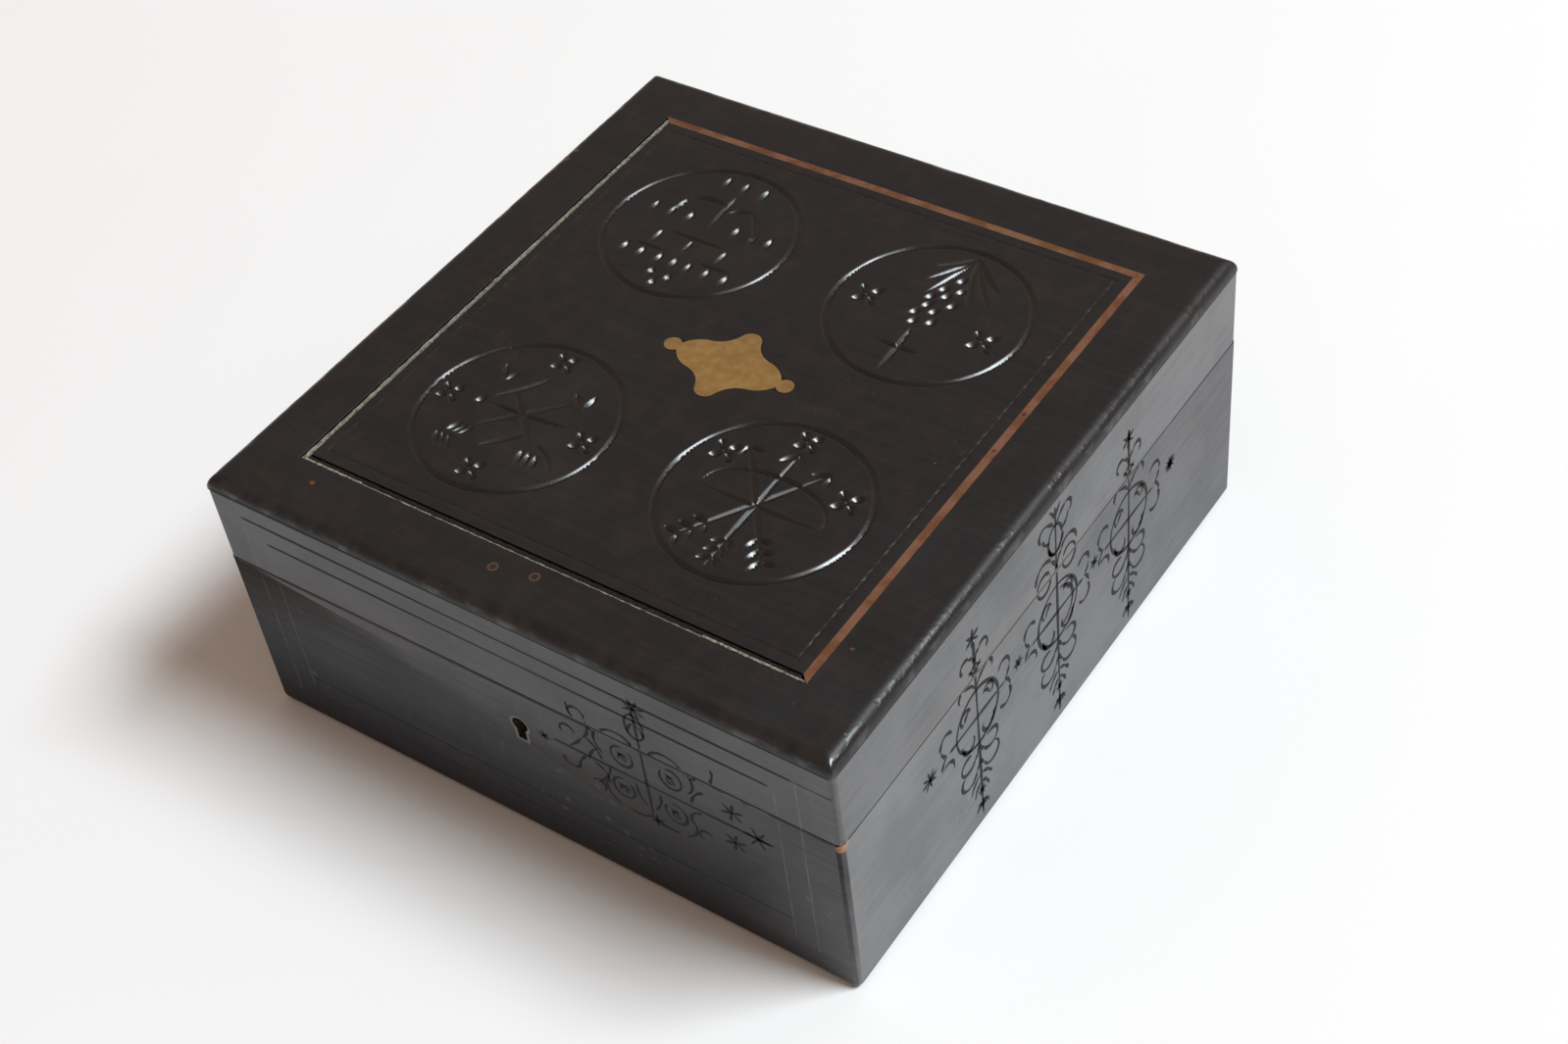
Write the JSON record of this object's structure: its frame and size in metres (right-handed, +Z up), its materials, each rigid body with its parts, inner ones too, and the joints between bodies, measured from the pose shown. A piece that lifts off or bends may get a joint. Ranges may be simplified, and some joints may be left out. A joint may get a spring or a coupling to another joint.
{
  "type": "ink box",
  "caption": "Low square ebonised wooden box with a hinged, lockable lid, carved and inlaid on top, holding a lift-out tray with ink stone, water dropper, ink stick and brushes.",
  "frame": {"origin": "middle of the box's underside, which is the face it stands on", "axes": "+X to the box's right seen from the front, +Y from the front with the keyhole to the hinges, +Z up"},
  "size_m": [0.16, 0.1672, 0.072],
  "materials": {
    "ebonised_wood": "satin",
    "plain_wood": "plain",
    "tray_wood": "satin",
    "inlay_brass": "dull",
    "string_copper": "dull",
    "brass_fittings": "aged",
    "steel": "aged",
    "slate": "honed",
    "dropper_glaze": "glazed",
    "ink_black": "matt",
    "bamboo": "polished",
    "brush_hair": "hair"
  },
  "bodies": {
    "box": {"front_wall": "ebonised_wood", "back_wall": "ebonised_wood", "left_wall": "ebonised_wood", "right_wall": "ebonised_wood", "bottom_board": "plain_wood", "tray_ledge_left": "plain_wood", "tray_ledge_right": "plain_wood", "keyhole_liner": "brass_fittings", "lock_back_plate": "brass_fittings", "lock_cap": "brass_fittings", "lock_pin": "steel", "lock_spring": "steel", "hinge_leaf_box_left": "brass_fittings", "hinge_leaf_box_right": "brass_fittings", "hinge_pin_left": "brass_fittings", "hinge_pin_right": "brass_fittings"},
    "lid": {"lid_front_rail": "ebonised_wood", "lid_back_rail": "ebonised_wood", "lid_left_rail": "ebonised_wood", "lid_right_rail": "ebonised_wood", "lid_top_panel": "ebonised_wood", "inlay_plate": "inlay_brass", "string_back": "string_copper", "string_right": "string_copper", "lid_pegs": "ebonised_wood", "link_plate": "brass_fittings", "hinge_leaf_lid_left": "brass_fittings", "hinge_leaf_lid_right": "brass_fittings"},
    "lock_bolt": {"lock_bolt": "brass_fittings"},
    "tray": {"tray_base": "tray_wood", "tray_front": "tray_wood", "tray_back": "tray_wood", "tray_left": "tray_wood", "tray_right": "tray_wood", "tray_divider_long": "tray_wood", "tray_divider_cross": "tray_wood", "brush_rest_front": "tray_wood", "brush_rest_back": "tray_wood"},
    "ink_stone": {"ink_stone": "slate"},
    "water_dropper": {"water_dropper": "dropper_glaze"},
    "ink_stick": {"ink_stick": "ink_black"},
    "brush_large": {"brush_large_handle": "bamboo", "brush_large_hair": "brush_hair"},
    "brush_small": {"brush_small_handle": "bamboo", "brush_small_hair": "brush_hair"}
  },
  "joints": [
    {"name": "lid_hinge", "type": "hinge", "parent": "box", "child": "lid", "pos_m": [0, 0.0837, 0.04825], "axis": [-1, 0, 0], "range_deg": [0, 100]},
    {"name": "bolt_slide", "type": "slide", "parent": "box", "child": "lock_bolt", "axis": [1, 0, 0], "range_m": [0, 0.0036]},
    {"name": "tray_lift", "type": "slide", "parent": "box", "child": "tray", "axis": [0, 0, 1], "range_m": [0, 0.02]},
    {"name": "ink_stone_lift", "type": "slide", "parent": "tray", "child": "ink_stone", "axis": [0, 0, 1], "range_m": [0, 0.02]},
    {"name": "water_dropper_lift", "type": "slide", "parent": "tray", "child": "water_dropper", "axis": [0, 0, 1], "range_m": [0, 0.02]},
    {"name": "ink_stick_lift", "type": "slide", "parent": "tray", "child": "ink_stick", "axis": [0, 0, 1], "range_m": [0, 0.02]},
    {"name": "brush_large_lift", "type": "slide", "parent": "tray", "child": "brush_large", "axis": [0, 0, 1], "range_m": [0, 0.02]},
    {"name": "brush_small_lift", "type": "slide", "parent": "tray", "child": "brush_small", "axis": [0, 0, 1], "range_m": [0, 0.02]}
  ]
}
